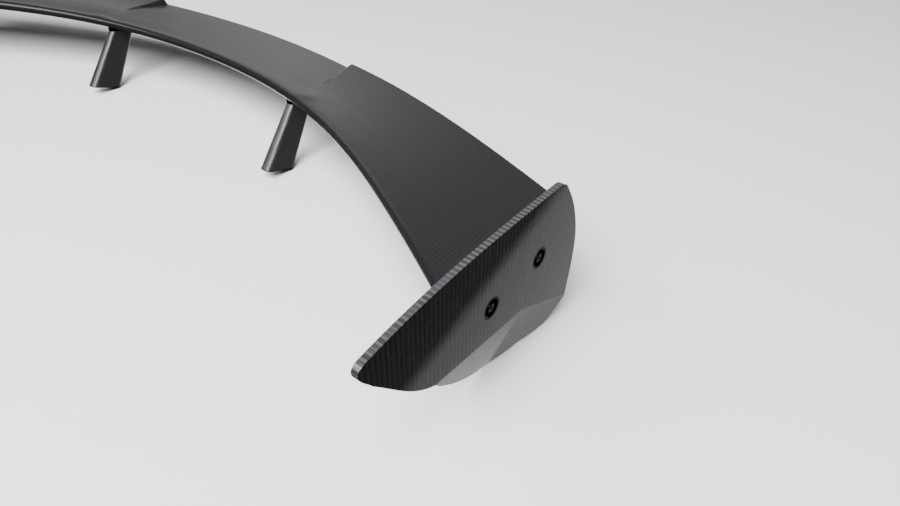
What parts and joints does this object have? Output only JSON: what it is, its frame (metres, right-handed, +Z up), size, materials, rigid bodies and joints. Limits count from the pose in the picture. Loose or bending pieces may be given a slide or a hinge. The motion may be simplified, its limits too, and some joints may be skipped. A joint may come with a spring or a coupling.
{
  "type": "rear wing",
  "caption": "Swept carbon-fibre rear wing for a racing car: hollow-topped blade on raked stalks, with creased end plates bolted to its tips.",
  "frame": {"origin": "middle of the rectangle of four vertical threaded holes in the two stalk feet, on the car's centre plane, 6 mm above the middle of the feet", "axes": "+X towards the car's left along the span, +Y towards the rear of the car, from leading to trailing edge, +Z up"},
  "size_m": [1.25, 0.4475, 0.1763],
  "materials": {
    "carbon_satin": "satin clear coat over black 2x2 twill carbon laminate",
    "carbon_gloss": "high gloss clear coat over black 2x2 twill carbon laminate",
    "foam": "closed-cell structural foam, sawn",
    "aluminium": "machined",
    "black_anodised": "black anodised",
    "black_steel": "black oxide",
    "steel": "bright turned steel",
    "gasket_rubber": "moulded matt black rubber"
  },
  "bodies": {
    "root": {"upper_skin": "carbon_satin", "lower_skin": "carbon_satin", "core": "foam", "end_plate_left": "carbon_gloss", "end_plate_cups_left": "black_anodised", "end_plate_screws_left": "black_steel", "tip_rib_left": "aluminium", "stalk_shell_left": "carbon_gloss", "stalk_spine_left": "aluminium", "foot_inserts_left": "steel", "foot_gasket_left": "gasket_rubber", "head_saddle_left": "black_anodised", "head_studs_left": "steel", "stalk_block_left": "aluminium", "end_plate_right": "carbon_gloss", "end_plate_cups_right": "black_anodised", "end_plate_screws_right": "black_steel", "tip_rib_right": "aluminium", "stalk_shell_right": "carbon_gloss", "stalk_spine_right": "aluminium", "foot_inserts_right": "steel", "foot_gasket_right": "gasket_rubber", "head_saddle_right": "black_anodised", "head_studs_right": "steel", "stalk_block_right": "aluminium"}
  },
  "joints": []
}
